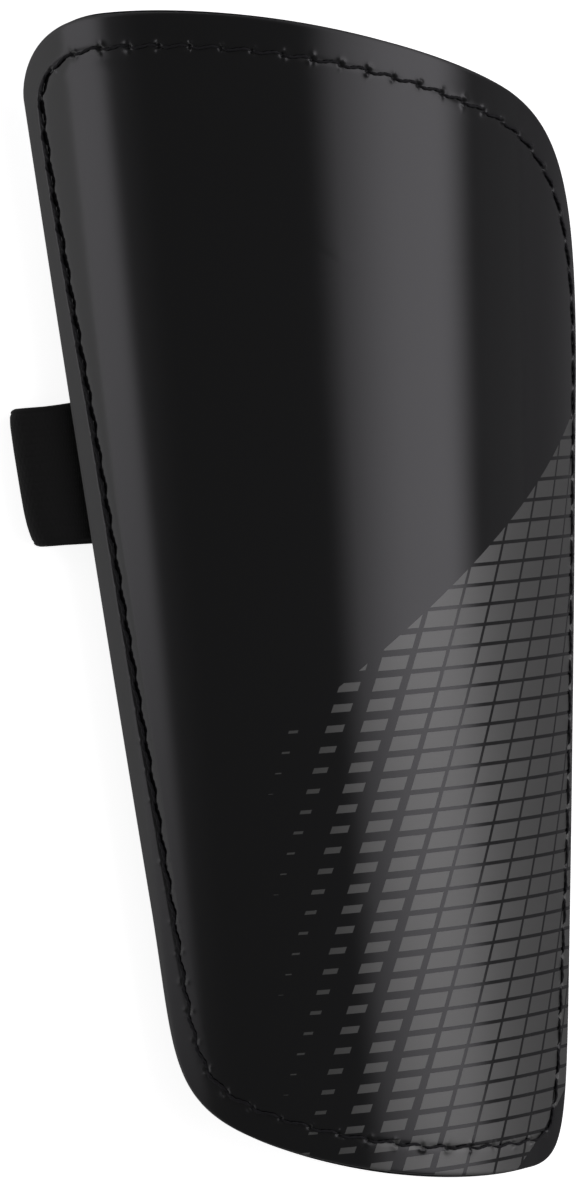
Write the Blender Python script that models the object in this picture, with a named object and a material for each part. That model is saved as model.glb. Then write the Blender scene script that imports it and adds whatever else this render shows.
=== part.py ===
"""Football shin guard, lying as it rests on a table with its hollow side down.

A hard moulded shell is sewn all round onto a foam backing, and one elastic strap is caught in the same
seam on both long sides.  The strap is slack, so part of it pushes out in a soft loop at the left edge.

Metres, +Z up.  The crest of the guard, which covers the shin bone, runs along Y with the knee end at +Y.
Every layer is drawn flat first, as a blank: "across" is the length measured over the shell from the crest,
to the left below zero, and "along" is the distance from the ankle tip.  The blank is then bent over a
section of two arcs that meet at the crest, a tight one on the left and a wide one on the right.
"""
import math

import bmesh
import bpy
from mathutils import Vector
from mathutils.geometry import interpolate_bezier

# Overall sizes of the guard
GUARD_LENGTH = 0.220
KNEE_CREST_HEIGHT = 0.0398
ANKLE_CREST_HEIGHT = 0.0228
KNEE_LEFT_RADIUS = 0.0515
ANKLE_LEFT_RADIUS = 0.0395
KNEE_RIGHT_RADIUS = 0.0820
ANKLE_RIGHT_RADIUS = 0.0650

# Layers, from the outside in
SHELL_THICKNESS = 0.0015
LAYER_GAP = 0.0003
FOAM_THICKNESS = 0.0047
FOAM_RIM = 0.0004
SHELL_EDGE_ROUND = 0.0006
FOAM_EDGE_ROUND = 0.0003

# Elastic strap
STRAP_WIDTH = 0.0250
STRAP_THICKNESS = 0.0013
STRAP_BELOW_KNEE_TIP = 0.0828
STRAP_CLEARANCE = 0.0004
STRAP_LOOP_REACH = 0.0110
STRAP_LOOP_RADIUS = 0.0033
STRAP_TAB_LENGTH = 0.0140
STRAP_RIGHT_FOLD_RADIUS = 0.0020

# Outline of the blank at each end, from the left side to the right.  "across" and both reaches are shares
# of the girth at that end, and "inset" is a share of the guard's length, from the tip.  Each row is one
# anchor of a Bezier curve with its own slope.  A side row lies on the edge that meets the table.
END_COLUMNS = ("place", "across", "inset", "slope", "reach_left", "reach_right")
KNEE_END = (
    ("left side", None, 0.065, None, 0.000, 0.031),
    ("tip", -0.300, 0.000, 0.00, 0.105, 0.232),
    ("shoulder", 0.300, 0.086, -0.43, 0.056, 0.150),
    ("right side", None, 0.339, None, 0.221, 0.000),
)
ANKLE_END = (
    ("left side", None, 0.262, None, 0.000, 0.345),
    ("heel slope", -0.229, 0.047, -0.39, 0.297, 0.049),
    ("tip", 0.410, 0.000, 0.00, 0.347, 0.168),
    ("right side", None, 0.168, None, 0.323, 0.000),
)

# How far the strap's loop draws in over its width.  Columns: a share of the width, from the ankle side of
# the strap to its knee side, and the draw-in there as a share of the loop's reach.
LOOP_SHAPE = (
    (0.00, 0.24),
    (0.18, 0.07),
    (0.50, 0.03),
    (0.90, 0.00),
    (1.00, 0.10),
)

# Mesh density
OUTLINE_STEPS = (8, 13, 12, 8, 8, 10, 10, 8)
RING_COUNT = 9
TAB_STEPS = 4
WRAP_STEPS = 5
RISE_STEPS = 9
LOOP_STEPS = 11
FOLD_STEPS = 8

WALL_THICKNESS = SHELL_THICKNESS + LAYER_GAP + FOAM_THICKNESS
STRAP_STACK = 2 * STRAP_THICKNESS + LAYER_GAP + STRAP_CLEARANCE
STRAP_MIDDLE_ALONG = GUARD_LENGTH - STRAP_BELOW_KNEE_TIP
LEFT = -1
RIGHT = 1


def between_ends(ankle_value, knee_value, along):
    """A size that changes evenly from the ankle tip to the knee tip."""
    return ankle_value + (knee_value - ankle_value) * along / GUARD_LENGTH


def crest_height(along):
    return between_ends(ANKLE_CREST_HEIGHT, KNEE_CREST_HEIGHT, along)


def radius(side, along):
    """Radius of the shell's outer face on one side of the crest."""
    if side == LEFT:
        return between_ends(ANKLE_LEFT_RADIUS, KNEE_LEFT_RADIUS, along)
    return between_ends(ANKLE_RIGHT_RADIUS, KNEE_RIGHT_RADIUS, along)


def section_point(side, along, angle, depth):
    """A point at an angle from the crest, in (x, z), at a depth under the shell's outer face."""
    outer = radius(side, along)
    x = side * (outer - depth) * math.sin(angle)
    z = crest_height(along) - outer + (outer - depth) * math.cos(angle)
    return x, z


def foot_angle(side, along):
    """Angle at which the foam's inner face comes down to its foot.

    The right foot stands on the table.  The left one stands on the two layers of strap under it, and so
    does the whole left edge, because the wall is stiff.
    """
    inner_radius = radius(side, along) - WALL_THICKNESS
    inner_height = crest_height(along) - WALL_THICKNESS
    if side == LEFT:
        inner_height -= STRAP_STACK
    return math.acos(1 - inner_height / inner_radius)


def half_girth(side, along):
    return radius(side, along) * foot_angle(side, along)


def bend(across, along, depth=0.0):
    """Bends a point of the flat blank to its place in space."""
    side = LEFT if across < 0 else RIGHT
    angle = abs(across) / radius(side, along)
    x, z = section_point(side, along, angle, depth)
    return Vector((x, along, z))


def side_point(side, along):
    return Vector((side * half_girth(side, along), along))


def side_direction(side, along):
    """Unit vector along the blank's long side, towards the knee."""
    step = GUARD_LENGTH / 200
    ahead = side_point(side, along + step)
    behind = side_point(side, along - step)
    return (ahead - behind).normalized()


def end_anchors(rows, tip_along, inward):
    """Turns the rows of one end into anchors: (point, direction, reach to the left, reach to the right)."""
    girth = half_girth(LEFT, tip_along) + half_girth(RIGHT, tip_along)
    anchors = []
    for values in rows:
        row = dict(zip(END_COLUMNS, values))
        along = tip_along + inward * row["inset"] * GUARD_LENGTH
        if row["place"] == "left side":
            point = side_point(LEFT, along)
            direction = -inward * side_direction(LEFT, along)
        elif row["place"] == "right side":
            point = side_point(RIGHT, along)
            direction = inward * side_direction(RIGHT, along)
        else:
            point = Vector((row["across"] * girth, along))
            direction = Vector((1.0, row["slope"])).normalized()
        anchors.append((point, direction, row["reach_left"] * girth, row["reach_right"] * girth))
    return anchors


def end_curve(anchors, steps):
    """Points along one end, from its left side to just before its right side."""
    points = []
    for start, end, count in zip(anchors, anchors[1:], steps):
        start_handle = start[0] + start[1] * start[3]
        end_handle = end[0] - end[1] * end[2]
        piece = interpolate_bezier(start[0], start_handle, end_handle, end[0], count + 1)
        points += [Vector(point[:2]) for point in piece[:-1]]
    points.append(anchors[-1][0])
    return points


def side_curve(side, start_along, end_along, steps):
    """Points strictly between two places on a long side."""
    return [
        side_point(side, start_along + (end_along - start_along) * step / steps)
        for step in range(1, steps)
    ]


def blank_outline():
    """The foam's outline on the flat blank, clockwise from the knee end's left side."""
    knee = end_anchors(KNEE_END, GUARD_LENGTH, -1)
    ankle = end_anchors(ANKLE_END, 0.0, 1)
    knee_points = end_curve(knee, OUTLINE_STEPS[0:3])
    ankle_points = end_curve(ankle, OUTLINE_STEPS[4:7])
    right = side_curve(RIGHT, knee_points[-1].y, ankle_points[-1].y, OUTLINE_STEPS[3])
    left = side_curve(LEFT, ankle_points[0].y, knee_points[0].y, OUTLINE_STEPS[7])
    return knee_points + right + ankle_points[::-1] + left


def inset_outline(outline, distance):
    """The same outline moved inwards on the blank, point by point."""
    moved = []
    for index, point in enumerate(outline):
        run = outline[(index + 1) % len(outline)] - outline[index - 1]
        inward = Vector((run.y, -run.x)).normalized()
        moved.append(point + inward * distance)
    return moved


def make_material(name, colour, roughness, metallic=0.0):
    material = bpy.data.materials.new(name)
    material.use_nodes = True
    shader = material.node_tree.nodes["Principled BSDF"]
    shader.inputs["Base Color"].default_value = (*colour, 1.0)
    shader.inputs["Roughness"].default_value = roughness
    shader.inputs["Metallic"].default_value = metallic
    return material


def add_object(name, mesh_builder, material):
    mesh = bpy.data.meshes.new(name)
    mesh_builder.to_mesh(mesh)
    mesh_builder.free()
    mesh.materials.append(material)
    mesh.shade_smooth()
    mesh.set_sharp_from_angle(angle=math.radians(35))
    part = bpy.data.objects.new(name, mesh)
    bpy.context.collection.objects.link(part)
    return part


def bridge(builder, ring, next_ring):
    """Quads between two closed clockwise rings, facing the viewer when the second lies inside the first."""
    count = len(ring)
    for index in range(count):
        after = (index + 1) % count
        builder.faces.new((ring[index], next_ring[index], next_ring[after], ring[after]))


def close_face(builder, outline, depth, edge_ring, facing_out):
    """Fills one face of a layer with rings that close in on the middle of the blank."""
    middle = Vector((0.0, GUARD_LENGTH / 2))
    ring = edge_ring
    for step in range(1, RING_COUNT):
        share = 1 - step / RING_COUNT
        inner = [middle + (point - middle) * share for point in outline]
        next_ring = [builder.verts.new(bend(point.x, point.y, depth)) for point in inner]
        if facing_out:
            bridge(builder, ring, next_ring)
        else:
            bridge(builder, next_ring, ring)
        ring = next_ring
    hub = builder.verts.new(bend(middle.x, middle.y, depth))
    for index, vertex in enumerate(ring):
        after = ring[(index + 1) % len(ring)]
        corners = (after, vertex, hub) if facing_out else (vertex, after, hub)
        builder.faces.new(corners)


def make_layer(name, outline, top_depth, thickness, edge_round, material):
    """One bent layer of the wall, with its outer edge rounded over."""
    edge_profile = (
        (edge_round, 0.0),
        (edge_round * 0.29, edge_round * 0.29),
        (0.0, edge_round),
        (0.0, thickness),
    )
    builder = bmesh.new()
    rings = []
    for inset, depth in edge_profile:
        ring_outline = inset_outline(outline, inset)
        ring = [builder.verts.new(bend(p.x, p.y, top_depth + depth)) for p in ring_outline]
        rings.append((ring_outline, ring))
    for upper, lower in zip(rings, rings[1:]):
        bridge(builder, lower[1], upper[1])
    first_outline, first_ring = rings[0]
    last_outline, last_ring = rings[-1]
    close_face(builder, first_outline, top_depth, first_ring, True)
    close_face(builder, last_outline, top_depth + thickness, last_ring, False)
    return add_object(name, builder, material)


def arc_points(centre, arc_radius, start, end, steps):
    """Points on an arc in (x, z); angles are from +X towards +Z, in radians."""
    return [
        (
            centre[0] + arc_radius * math.cos(start + (end - start) * step / steps),
            centre[1] + arc_radius * math.sin(start + (end - start) * step / steps),
        )
        for step in range(steps + 1)
    ]


def loop_draw_in(share):
    """How far the loop draws in at a place over the strap's width, from the table above."""
    for (start, first), (end, second) in zip(LOOP_SHAPE, LOOP_SHAPE[1:]):
        if share <= end:
            return first + (second - first) * (share - start) / (end - start)
    return LOOP_SHAPE[-1][1]


def strap_route(along, draw_in):
    """The strap's middle line in (x, z) at one place over its width, from its left tab to its right."""
    half = STRAP_THICKNESS / 2
    hug = WALL_THICKNESS + STRAP_CLEARANCE + half
    quarter = math.pi / 2

    left_foot = foot_angle(LEFT, along)
    left_centre = (0.0, crest_height(along) - radius(LEFT, along))
    left_radius = radius(LEFT, along) - hug
    tab_start = quarter + left_foot - STRAP_TAB_LENGTH / left_radius
    tab = arc_points(left_centre, left_radius, tab_start, quarter + left_foot, TAB_STEPS)

    foot = section_point(LEFT, along, left_foot, WALL_THICKNESS)
    wrap = arc_points(
        foot, STRAP_CLEARANCE + half, left_foot - quarter, -quarter, WRAP_STEPS
    )

    shell_edge = section_point(LEFT, along, left_foot, 0.0)
    reach = STRAP_LOOP_REACH * (1 - draw_in)
    loop_centre = (shell_edge[0] - reach + half + STRAP_LOOP_RADIUS, half + STRAP_LOOP_RADIUS)
    rise_start = wrap[-1]
    rise_end = (loop_centre[0], loop_centre[1] + STRAP_LOOP_RADIUS)
    span = (rise_start[0] - rise_end[0]) / 2
    rise = interpolate_bezier(
        Vector(rise_start),
        Vector((rise_start[0] - span, rise_start[1])),
        Vector((rise_end[0] + span, rise_end[1])),
        Vector(rise_end),
        RISE_STEPS + 1,
    )
    rise = [(point[0], point[1]) for point in rise]
    loop = arc_points(loop_centre, STRAP_LOOP_RADIUS, quarter, 3 * quarter, LOOP_STEPS)

    right_drop = radius(RIGHT, along) - crest_height(along)
    right_radius = radius(RIGHT, along) - hug
    fold_height = half + STRAP_RIGHT_FOLD_RADIUS
    fold_from_centre = right_radius - STRAP_RIGHT_FOLD_RADIUS
    fold_rise = fold_height + right_drop
    fold_centre = (math.sqrt(fold_from_centre**2 - fold_rise**2), fold_height)
    wall_angle = math.atan2(fold_rise, fold_centre[0])
    fold = arc_points(fold_centre, STRAP_RIGHT_FOLD_RADIUS, -quarter, wall_angle, FOLD_STEPS)
    right_tab = arc_points(
        (0.0, -right_drop),
        right_radius,
        wall_angle,
        wall_angle + STRAP_TAB_LENGTH / right_radius,
        TAB_STEPS,
    )
    return tab + wrap[1:] + rise[1:] + loop[1:] + fold + right_tab[1:]


def thicken(route, distance):
    """The route moved sideways, to the right of the way it runs."""
    moved = []
    for index, (x, z) in enumerate(route):
        before = Vector(route[max(index - 1, 0)])
        after = Vector(route[min(index + 1, len(route) - 1)])
        run = (after - before).normalized()
        moved.append((x + run.y * distance, z - run.x * distance))
    return moved


def make_strap(material):
    builder = bmesh.new()
    sections = []
    for share, draw_in in LOOP_SHAPE:
        along = STRAP_MIDDLE_ALONG + (share - 0.5) * STRAP_WIDTH
        route = strap_route(along, draw_in)
        faces = []
        for distance in (STRAP_THICKNESS / 2, -STRAP_THICKNESS / 2):
            line = thicken(route, distance)
            faces.append([builder.verts.new((x, along, z)) for x, z in line])
        sections.append(faces[0] + faces[1][::-1])
    for ring, next_ring in zip(sections, sections[1:]):
        bridge(builder, ring, next_ring)
    for ring in (sections[0], sections[-1]):
        for index in range(len(ring) // 2 - 1):
            builder.faces.new((ring[index], ring[index + 1], ring[-index - 2], ring[-index - 1]))
    bmesh.ops.recalc_face_normals(builder, faces=builder.faces)
    return add_object("strap", builder, material)


def stand_at_origin(parts):
    """Moves every mesh so that the whole guard is centred over the origin and stands on z = 0."""
    corners = [vertex.co for part in parts for vertex in part.data.vertices]
    low = [min(corner[axis] for corner in corners) for axis in range(3)]
    high = [max(corner[axis] for corner in corners) for axis in range(3)]
    shift = Vector((-(low[0] + high[0]) / 2, -(low[1] + high[1]) / 2, -low[2]))
    for part in parts:
        for vertex in part.data.vertices:
            vertex.co += shift


def main():
    for old in list(bpy.data.objects):
        bpy.data.objects.remove(old, do_unlink=True)

    shell_black = make_material("shell_black", (0.012, 0.012, 0.013), 0.22)
    foam_black = make_material("foam_black", (0.010, 0.010, 0.010), 0.85)
    elastic_black = make_material("elastic_black", (0.008, 0.008, 0.008), 0.90)

    foam_outline = blank_outline()
    shell_outline = inset_outline(foam_outline, FOAM_RIM)
    shell = make_layer("shell", shell_outline, 0.0, SHELL_THICKNESS, SHELL_EDGE_ROUND, shell_black)
    foam = make_layer(
        "foam_backing",
        foam_outline,
        SHELL_THICKNESS + LAYER_GAP,
        FOAM_THICKNESS,
        FOAM_EDGE_ROUND,
        foam_black,
    )
    strap = make_strap(elastic_black)
    stand_at_origin((shell, foam, strap))


main()
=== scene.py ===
# %% [markdown]
# A football shin guard, dressed for its picture
#
# The guard is a hard black shell, sewn all round onto a foam backing, with one elastic strap caught in the
# same seam.  A factory cuts each layer flat, sews the layers and bends them over a form.  This lesson works
# in the same order: every layer starts as a flat blank, and one Geometry Nodes group bends whatever it is
# given over the same form.  So the shell, the foam and the thread always fit each other.
#
# Metres, +Z up, +Y towards the knee.  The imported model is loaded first, as the frame that all pieces fit.

# %% Load the frame
import math
import random
from functools import partial

import bpy
from mathutils import Matrix, Vector
from mathutils.geometry import interpolate_bezier


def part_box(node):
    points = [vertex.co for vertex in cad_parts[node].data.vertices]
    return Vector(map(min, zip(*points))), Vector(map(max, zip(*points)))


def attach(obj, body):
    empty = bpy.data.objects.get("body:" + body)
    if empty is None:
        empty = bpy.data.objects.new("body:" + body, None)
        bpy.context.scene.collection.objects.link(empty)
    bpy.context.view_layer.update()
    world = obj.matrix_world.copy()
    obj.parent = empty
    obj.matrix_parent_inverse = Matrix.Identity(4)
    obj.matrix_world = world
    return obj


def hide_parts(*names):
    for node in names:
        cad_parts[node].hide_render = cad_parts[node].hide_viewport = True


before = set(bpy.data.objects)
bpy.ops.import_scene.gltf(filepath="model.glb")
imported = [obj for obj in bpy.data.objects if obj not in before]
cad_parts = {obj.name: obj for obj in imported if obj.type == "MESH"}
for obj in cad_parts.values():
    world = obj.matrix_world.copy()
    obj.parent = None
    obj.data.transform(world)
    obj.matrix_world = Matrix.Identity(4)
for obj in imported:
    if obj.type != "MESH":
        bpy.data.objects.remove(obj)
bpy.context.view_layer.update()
MM = 0.001
print("CAD nodes:", sorted(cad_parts))

# %% [markdown]
# The sizes of the guard
#
# These are the sizes of the modelled part, written again in millimetres.  The outline of the blank is given
# at both ends as anchors of a smooth curve, with places and reaches as shares of the girth at that end.

# %% Sizes
GUARD_LENGTH = 220 * MM
CREST_HEIGHT = {"ankle": 22.8 * MM, "knee": 39.8 * MM}
LEFT_RADIUS = {"ankle": 39.5 * MM, "knee": 51.5 * MM}
RIGHT_RADIUS = {"ankle": 65.0 * MM, "knee": 82.0 * MM}
SHELL_THICKNESS = 1.5 * MM
LAYER_GAP = 0.3 * MM
FOAM_THICKNESS = 4.7 * MM
FOAM_RIM = 0.4 * MM
WALL_THICKNESS = SHELL_THICKNESS + LAYER_GAP + FOAM_THICKNESS
STRAP_WIDTH = 25.0 * MM
STRAP_THICKNESS = 1.3 * MM
STRAP_CLEARANCE = 0.4 * MM
STRAP_STACK = 2 * STRAP_THICKNESS + LAYER_GAP + STRAP_CLEARANCE
STRAP_MIDDLE_ALONG = GUARD_LENGTH - 82.8 * MM
LEFT, RIGHT = -1, 1

END_COLUMNS = ("place", "across", "inset", "slope", "reach_left", "reach_right")
KNEE_END = (
    ("left side", None, 0.065, None, 0.000, 0.031),
    ("tip", -0.300, 0.000, 0.00, 0.105, 0.232),
    ("shoulder", 0.300, 0.086, -0.43, 0.056, 0.150),
    ("right side", None, 0.339, None, 0.221, 0.000),
)
ANKLE_END = (
    ("left side", None, 0.262, None, 0.000, 0.345),
    ("heel slope", -0.229, 0.047, -0.39, 0.297, 0.049),
    ("tip", 0.410, 0.000, 0.00, 0.347, 0.168),
    ("right side", None, 0.168, None, 0.323, 0.000),
)
print("length", GUARD_LENGTH, "wall", round(WALL_THICKNESS, 4))

# %% [markdown]
# The rule of the form
#
# Seen from an end, the wall is two arcs that meet at the crest: a tight one on the left and a wide one on
# the right.  Both grow evenly from ankle to knee.  A foot angle says how far down the wall reaches, and
# with it the girth of each side is known, which gives the blank's long edges.

# %% Section and girth
def between_ends(sizes, along):
    """A size that changes evenly from the ankle tip to the knee tip."""
    return sizes["ankle"] + (sizes["knee"] - sizes["ankle"]) * along / GUARD_LENGTH


def radius(side, along):
    """Radius of the shell's outer face, on one side of the crest."""
    return between_ends(LEFT_RADIUS if side == LEFT else RIGHT_RADIUS, along)


def foot_angle(side, along):
    """Angle from the crest at which the foam's inner face meets what it stands on."""
    inner_radius = radius(side, along) - WALL_THICKNESS
    inner_height = between_ends(CREST_HEIGHT, along) - WALL_THICKNESS
    if side == LEFT:
        inner_height -= STRAP_STACK
    return math.acos(1 - inner_height / inner_radius)


def side_point(side, along):
    """A point on the blank's long side, as (across, along)."""
    return Vector((side * radius(side, along) * foot_angle(side, along), along))


def side_direction(side, along):
    """Unit vector along the blank's long side, towards the knee."""
    return (side_point(side, along + MM) - side_point(side, along - MM)).normalized()


girth = {
    "ankle": side_point(RIGHT, 0).x - side_point(LEFT, 0).x,
    "knee": side_point(RIGHT, GUARD_LENGTH).x - side_point(LEFT, GUARD_LENGTH).x,
}
print("girth over the shell:", {end: round(size, 4) for end, size in girth.items()})

# %% [markdown]
# The outline of the blank
#
# The real blank is cut with a steel die.  A die's edge is a chain of smooth curves, so the outline is drawn
# with Bezier pieces between the anchors, and then walked at equal steps of a quarter of a millimetre.

# %% Curves of the outline
OUTLINE_STEP = 0.25 * MM
CURVE_STEPS, SIDE_STEPS = 160, 300
NORMAL_SPAN = 4


def end_curve(rows, end, inward):
    """Points along one end of the blank, from its left side to its right side."""
    tip_along = GUARD_LENGTH if end == "knee" else 0.0
    anchors = []
    for values in rows:
        row = dict(zip(END_COLUMNS, values))
        along = tip_along + inward * row["inset"] * GUARD_LENGTH
        if row["place"] == "left side":
            point, direction = side_point(LEFT, along), -inward * side_direction(LEFT, along)
        elif row["place"] == "right side":
            point, direction = side_point(RIGHT, along), inward * side_direction(RIGHT, along)
        else:
            point = Vector((row["across"] * girth[end], along))
            direction = Vector((1.0, row["slope"])).normalized()
        back = point - direction * row["reach_left"] * girth[end]
        ahead = point + direction * row["reach_right"] * girth[end]
        anchors.append((back, point, ahead))
    points = []
    for start, finish in zip(anchors, anchors[1:]):
        points += interpolate_bezier(start[1], start[2], finish[0], finish[1], CURVE_STEPS)[:-1]
    return [Vector(point[:2]) for point in points] + [anchors[-1][1]]


def side_curve(side, start_along, end_along):
    """Points along one long side, without its two ends."""
    span = end_along - start_along
    return [side_point(side, start_along + span * step / SIDE_STEPS) for step in range(1, SIDE_STEPS)]


def walk(points, step):
    """The same closed line, with its points at equal steps close to the one asked for."""
    loop = points + points[:1]
    reached = [0.0]
    for here, there in zip(loop, loop[1:]):
        reached.append(reached[-1] + (there - here).length)
    count = round(reached[-1] / step)
    walked, index = [], 0
    for number in range(count):
        target = reached[-1] * number / count
        while reached[index + 1] < target:
            index += 1
        share = (target - reached[index]) / (reached[index + 1] - reached[index])
        walked.append(loop[index].lerp(loop[index + 1], share))
    return walked


def inward_normals(points):
    """Unit vectors that point into the blank, for points that run clockwise."""
    normals = []
    for index, point in enumerate(points):
        run = points[(index + NORMAL_SPAN) % len(points)] - points[index - NORMAL_SPAN]
        normals.append(Vector((run.y, -run.x)).normalized())
    return normals


# %% Draw the outline
knee_points = end_curve(KNEE_END, "knee", -1)
ankle_points = end_curve(ANKLE_END, "ankle", 1)
right_points = side_curve(RIGHT, knee_points[-1].y, ankle_points[-1].y)
left_points = side_curve(LEFT, ankle_points[0].y, knee_points[0].y)
outline = walk(knee_points + right_points + ankle_points[::-1] + left_points, OUTLINE_STEP)
outline_normals = inward_normals(outline)
print(len(outline), "points,", round(len(outline) * OUTLINE_STEP, 3), "m round the blank")

# %% [markdown]
# The seam and its stations
#
# The seam was guided by hand: it keeps 5 mm from the edge on the left, 6 to 7 mm at the knee end, 5 to 6 mm
# at the ankle end and only 3 mm on the right.  One even inset would be shorter to write, but would look
# machine-cut, so a short table gives the distance round the blank, and its corners are smoothed away.
#
# The needle holes are one pitch apart, measured along the seam, and the last stitch meets the first, so the
# pitch is rounded to fit.  The blank's mesh gets its columns from the seam: close together at each hole,
# where the plastic is puckered, and wide apart between.

# %% The seam's table
# Each row: millimetres walked clockwise from the knee end's left side, and the inset from the edge there.
SEAM_TABLE = (
    (0, 5.0), (15, 6.2), (30, 6.5), (70, 6.4), (108, 6.6), (132, 6.9), (150, 5.2), (167, 3.4), (182, 3.1),
    (264, 3.2), (285, 4.2), (300, 5.1), (350, 5.6), (372, 5.7), (420, 5.4), (444, 5.0), (540, 5.0),
    (564, 4.5), (585, 4.1), (598, 4.2), (610, 5.0),
)
SEAM_SMOOTHING = 8 * MM
STITCH_PITCH = 5.7 * MM
HOLE_STATIONS = (0.0, 0.2, 0.4, 0.6, 0.85, 1.15, 1.6)
MIDWAY_STATIONS = (0.38, 0.5, 0.62)


def from_table(table, place):
    """The number that a table of (place, number) rows gives at a place between its rows."""
    for (start, first), (end, second) in zip(table, table[1:]):
        if place <= end:
            return first + (second - first) * (place - start) / (end - start)
    return table[-1][1]


def smoothed_round(values, reach):
    """Averages each value with its neighbours on a closed line, twice, so that no corner is left."""
    count = len(values)
    for _ in range(2):
        values = [
            sum(values[(index + step) % count] for step in range(-reach, reach + 1)) / (2 * reach + 1)
            for index in range(count)
        ]
    return values


# %% Lay out the seam
seam_insets = [from_table(SEAM_TABLE, index * OUTLINE_STEP / MM) * MM for index in range(len(outline))]
seam_insets = smoothed_round(seam_insets, round(SEAM_SMOOTHING / 2 / OUTLINE_STEP))
seam = [point + normal * inset for point, normal, inset in zip(outline, outline_normals, seam_insets)]
seam_reach = [0.0]
for here, there in zip(seam, seam[1:] + seam[:1]):
    seam_reach.append(seam_reach[-1] + (there - here).length)
stitch_count = 2 * round(seam_reach[-1] / STITCH_PITCH / 2)
pitch = seam_reach[-1] / stitch_count
print(stitch_count, "stitches, pitch", round(pitch / MM, 3), "mm")

# %% Stations along the seam
offsets = sorted(
    [distance * MM for distance in HOLE_STATIONS]
    + [pitch - distance * MM for distance in HOLE_STATIONS[1:]]
    + [pitch * share for share in MIDWAY_STATIONS]
)
stations = []
index = 0
for stitch in range(stitch_count):
    for offset in offsets:
        reach = stitch * pitch + offset
        while seam_reach[index + 1] < reach:
            index += 1
        share = (reach - seam_reach[index]) / (seam_reach[index + 1] - seam_reach[index])
        after = (index + 1) % len(outline)
        stations.append({
            "hole": stitch if offset < pitch / 2 else (stitch + 1) % stitch_count,
            "from_hole": offset if offset < pitch / 2 else offset - pitch,
            "point": outline[index].lerp(outline[after], share),
            "normal": outline_normals[index].lerp(outline_normals[after], share).normalized(),
            "inset": seam_insets[index] + (seam_insets[after] - seam_insets[index]) * share,
        })
print(len(stations), "stations, each one column of the blank's mesh")

# %% [markdown]
# One group that bends
#
# A flat blank holds three numbers at each point: across, along and height over the shell's outer face.
# Bending turns across into an angle and height into a radius.  As a Geometry Nodes group it can be placed
# in every tree below, and its sizes are inputs with names, so another guard needs only other numbers.

# %% Helpers for node trees
NODES_PER_COLUMN, COLUMN_WIDTH, ROW_HEIGHT = 6, 220, 190


def new_geometry_tree(name, inputs):
    """A Geometry Nodes tree with one geometry in, one out, and named number inputs."""
    tree = bpy.data.node_groups.new(name, "GeometryNodeTree")
    tree.interface.new_socket("Geometry", in_out="INPUT", socket_type="NodeSocketGeometry")
    tree.interface.new_socket("Geometry", in_out="OUTPUT", socket_type="NodeSocketGeometry")
    for socket_name, value in inputs.items():
        kind = "NodeSocketInt" if isinstance(value, int) else "NodeSocketFloat"
        socket = tree.interface.new_socket(socket_name, in_out="INPUT", socket_type=kind)
        socket.default_value = value
    source = tree.nodes.new("NodeGroupInput")
    target = tree.nodes.new("NodeGroupOutput")
    return tree, source, target


def calculate(tree, operation, *values):
    """A Math node on numbers or other nodes' outputs; gives back its result."""
    node = tree.nodes.new("ShaderNodeMath")
    node.operation = operation
    for socket, value in zip(node.inputs, values):
        if isinstance(value, bpy.types.NodeSocket):
            tree.links.new(value, socket)
        else:
            socket.default_value = value
    return node.outputs[0]


def split_vector(tree, vector):
    """The X, Y and Z of a node's vector output."""
    node = tree.nodes.new("ShaderNodeSeparateXYZ")
    tree.links.new(vector, node.inputs[0])
    return node.outputs


def join_vector(tree, *numbers):
    """A vector output from X, Y and Z."""
    node = tree.nodes.new("ShaderNodeCombineXYZ")
    for number, socket in zip(numbers, node.inputs):
        tree.links.new(number, socket)
    return node.outputs[0]


def soft_step(tree, value, low, high):
    """0 at low, 1 at high, and smooth between them; low may also be the larger one."""
    node = tree.nodes.new("ShaderNodeMapRange")
    node.interpolation_type = "SMOOTHSTEP"
    for socket, limit in (("From Min", low), ("From Max", high)):
        if isinstance(limit, bpy.types.NodeSocket):
            tree.links.new(limit, node.inputs[socket])
        else:
            node.inputs[socket].default_value = limit
    tree.links.new(value, node.inputs["Value"])
    return node.outputs["Result"]


def spread_out(tree):
    """Places the nodes in columns by their order, so that the tree can be read in the editor."""
    for index, node in enumerate(tree.nodes):
        column, row = divmod(index, NODES_PER_COLUMN)
        node.location = (column * COLUMN_WIDTH, -row * ROW_HEIGHT)
    print(tree.name, "has", len(tree.nodes), "nodes")


# %% Sizes of the bend
shell_left_edge = min(
    math.sin(point.x / radius(LEFT, point.y)) * radius(LEFT, point.y)
    for point in (p + n * FOAM_RIM for p, n in zip(outline, outline_normals))
    if point.x < 0
)
BEND_SIZES = {
    "Length": GUARD_LENGTH,
    "Ankle Crest Height": CREST_HEIGHT["ankle"],
    "Knee Crest Height": CREST_HEIGHT["knee"],
    "Ankle Left Radius": LEFT_RADIUS["ankle"],
    "Knee Left Radius": LEFT_RADIUS["knee"],
    "Ankle Right Radius": RIGHT_RADIUS["ankle"],
    "Knee Right Radius": RIGHT_RADIUS["knee"],
    "Crest X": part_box("shell")[0].x - shell_left_edge,
}
print("crest at x =", round(BEND_SIZES["Crest X"] / MM, 2), "mm")

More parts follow.
